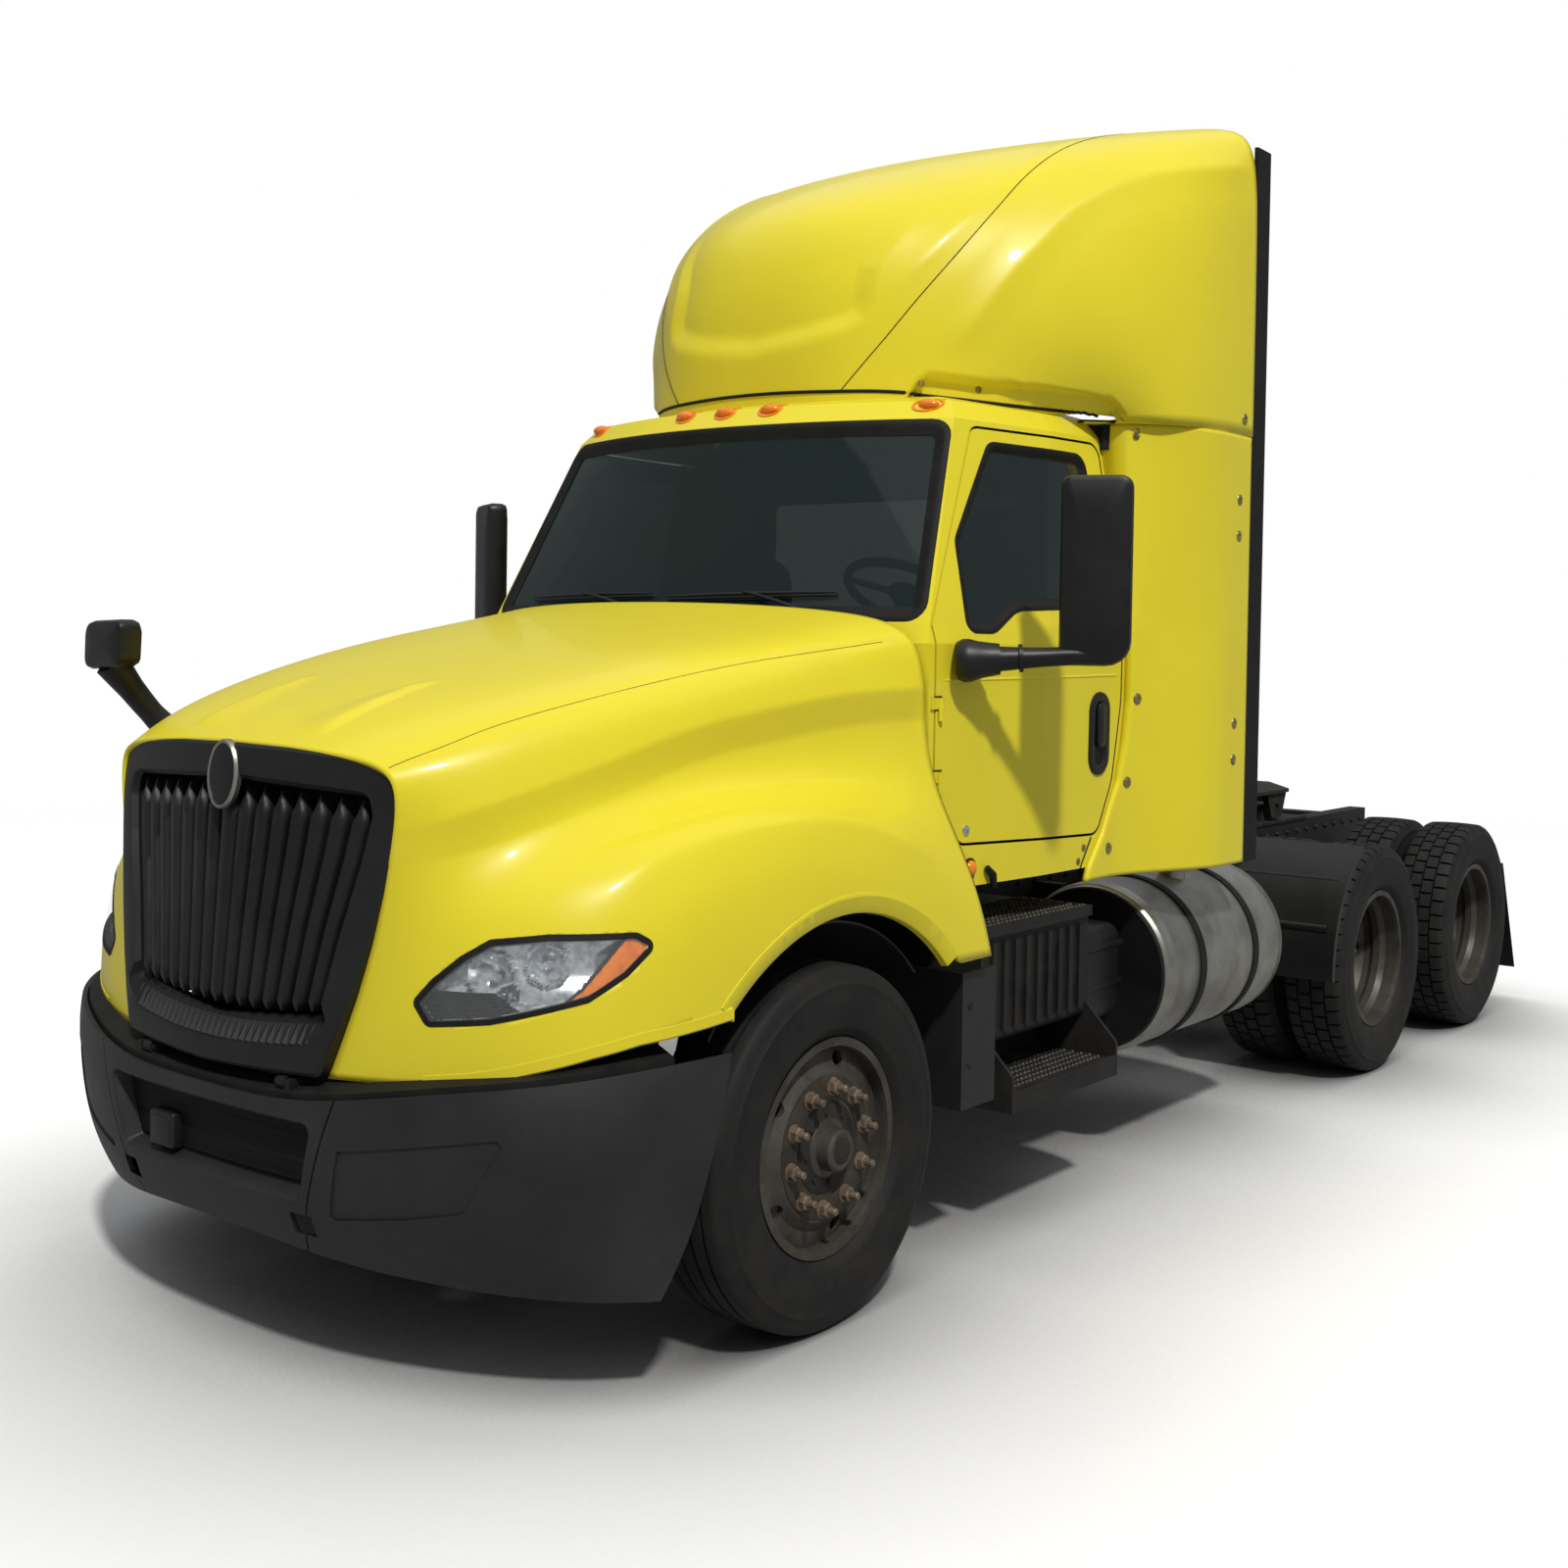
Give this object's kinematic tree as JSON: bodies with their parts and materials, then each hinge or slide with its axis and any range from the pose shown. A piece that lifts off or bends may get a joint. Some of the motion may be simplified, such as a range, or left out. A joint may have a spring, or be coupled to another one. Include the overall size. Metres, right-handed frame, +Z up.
{
  "type": "semi truck tractor unit",
  "caption": "Conventional day cab semi truck tractor with tilting hood, tall roof fairing, side extenders, opening doors, steered front axle, tandem drive axles and a fifth wheel coupling.",
  "frame": {"origin": "on the ground, at mid width and mid length of the truck", "axes": "+Y to the rear of the truck, so it faces -Y, +X to its left side, +Z up"},
  "size_m": [2.984, 7.4375, 3.9239],
  "materials": {
    "yellow_paint": "glossy bright yellow paint",
    "frame_black": "satin black chassis paint",
    "axle_black": "black painted castings and forgings",
    "dark_plastic": "dark grey textured plastic",
    "satin_black": "satin black plastic",
    "edge_rubber": "black rubber",
    "tyre_rubber": "worn black tyre rubber",
    "wheel_steel": "dull grey painted steel with road dirt",
    "engine_grey": "plain grey cast block",
    "radiator_core": "dull aluminium fins",
    "clear_glass": "lightly tinted glass",
    "lamp_lens": "clear lens",
    "red_lens": "red lens",
    "amber_lens": "amber lens",
    "tank_aluminium": "dull brushed aluminium with dirt",
    "trim_grey": "dark grey interior trim",
    "seat_cloth": "dark grey cloth"
  },
  "bodies": {
    "chassis": {"air_tanks": "frame_black", "battery_box": "frame_black", "bumper": "dark_plastic", "bumper_beam": "frame_black", "cab_glass": "clear_glass", "cab_shell": "yellow_paint", "chassis_frame": "frame_black", "dashboard": "trim_grey", "deck_plate": "frame_black", "drive_axles": "axle_black", "drive_shafts": "axle_black", "engine_block": "engine_grey", "exhaust_box": "frame_black", "extender_edges": "edge_rubber", "fifth_wheel_base": "axle_black", "front_axle": "axle_black", "front_springs": "frame_black", "fuel_tank": "tank_aluminium", "marker_lamps": "amber_lens", "mud_flaps": "edge_rubber", "quarter_fenders": "dark_plastic", "radiator": "radiator_core", "rear_suspension": "axle_black", "roof_fairing": "yellow_paint", "seats": "seat_cloth", "side_extenders": "yellow_paint", "splash_guards": "dark_plastic", "tail_lamps": "red_lens", "tank_straps": "edge_rubber"},
    "hood": {"hood": "yellow_paint", "grille_surround": "satin_black", "grille_bars": "satin_black", "headlamps": "lamp_lens", "hood_arms": "frame_black", "hood_mirror": "satin_black"},
    "door_left": {"door_left": "yellow_paint", "door_glass_left": "clear_glass", "door_mirror_left": "satin_black"},
    "door_right": {"door_right": "yellow_paint", "door_glass_right": "clear_glass", "door_mirror_right": "satin_black"},
    "knuckle_left": {"knuckle_left": "axle_black"},
    "knuckle_right": {"knuckle_right": "axle_black"},
    "tie_rod": {"tie_rod": "axle_black"},
    "steer_wheel_left": {"steer_wheel_left": "wheel_steel", "steer_tyre_left": "tyre_rubber"},
    "steer_wheel_right": {"steer_wheel_right": "wheel_steel", "steer_tyre_right": "tyre_rubber"},
    "steering_wheel": {"steering_wheel": "trim_grey"},
    "fifth_wheel_plate": {"fifth_wheel_plate": "axle_black"},
    "drive_wheel_1_left": {"drive_wheel_1_left": "wheel_steel", "drive_tyres_1_left": "tyre_rubber"},
    "drive_wheel_1_right": {"drive_wheel_1_right": "wheel_steel", "drive_tyres_1_right": "tyre_rubber"},
    "drive_wheel_2_left": {"drive_wheel_2_left": "wheel_steel", "drive_tyres_2_left": "tyre_rubber"},
    "drive_wheel_2_right": {"drive_wheel_2_right": "wheel_steel", "drive_tyres_2_right": "tyre_rubber"}
  },
  "joints": [
    {"name": "hood_tilt", "type": "hinge", "parent": "chassis", "child": "hood", "pos_m": [0, -3.66, 0.765], "axis": [1, 0, 0], "range_deg": [0, 70]},
    {"name": "door_left_hinge", "type": "hinge", "parent": "chassis", "child": "door_left", "pos_m": [1.018, -1.764, 1.6], "axis": [0, 0, -1], "range_deg": [0, 65]},
    {"name": "door_right_hinge", "type": "hinge", "parent": "chassis", "child": "door_right", "pos_m": [-1.018, -1.764, 1.6], "axis": [0, 0, 1], "range_deg": [0, 65]},
    {"name": "steer_left", "type": "hinge", "parent": "chassis", "child": "knuckle_left", "pos_m": [0.89, -2.495, 0.508], "axis": [0, 0, 1], "range_deg": [-40, 40]},
    {"name": "steer_right", "type": "hinge", "parent": "chassis", "child": "knuckle_right", "pos_m": [-0.89, -2.495, 0.508], "axis": [0, 0, 1], "range_deg": [-40, 40]},
    {"name": "tie_rod_swing", "type": "hinge", "parent": "knuckle_left", "child": "tie_rod", "pos_m": [0.89, -2.265, 0.362], "axis": [0, 0, 1], "range_deg": [-40, 40]},
    {"name": "steering_wheel_turn", "type": "hinge", "parent": "chassis", "child": "steering_wheel", "pos_m": [0.56, -1.3, 2.06], "axis": [0, 0.5, 0.866], "range_deg": [-720, 720]},
    {"name": "steer_wheel_left_spin", "type": "hinge", "parent": "knuckle_left", "child": "steer_wheel_left", "pos_m": [1.05, -2.495, 0.508], "axis": [1, 0, 0], "continuous": true},
    {"name": "steer_wheel_right_spin", "type": "hinge", "parent": "knuckle_right", "child": "steer_wheel_right", "pos_m": [-1.05, -2.495, 0.508], "axis": [1, 0, 0], "continuous": true},
    {"name": "fifth_wheel_pitch", "type": "hinge", "parent": "chassis", "child": "fifth_wheel_plate", "pos_m": [0, 2.18, 1.085], "axis": [1, 0, 0], "range_deg": [-12, 12]},
    {"name": "drive_wheel_1_left_spin", "type": "hinge", "parent": "chassis", "child": "drive_wheel_1_left", "pos_m": [0.925, 1.55, 0.508], "axis": [1, 0, 0], "continuous": true},
    {"name": "drive_wheel_1_right_spin", "type": "hinge", "parent": "chassis", "child": "drive_wheel_1_right", "pos_m": [-0.925, 1.55, 0.508], "axis": [1, 0, 0], "continuous": true},
    {"name": "drive_wheel_2_left_spin", "type": "hinge", "parent": "chassis", "child": "drive_wheel_2_left", "pos_m": [0.925, 2.87, 0.508], "axis": [1, 0, 0], "continuous": true},
    {"name": "drive_wheel_2_right_spin", "type": "hinge", "parent": "chassis", "child": "drive_wheel_2_right", "pos_m": [-0.925, 2.87, 0.508], "axis": [1, 0, 0], "continuous": true}
  ],
  "couplings": [
    {"joint": "steer_right", "follows": "steer_left", "ratio": 1},
    {"joint": "tie_rod_swing", "follows": "steer_left", "ratio": -1},
    {"joint": "steering_wheel_turn", "follows": "steer_left", "ratio": 18}
  ]
}
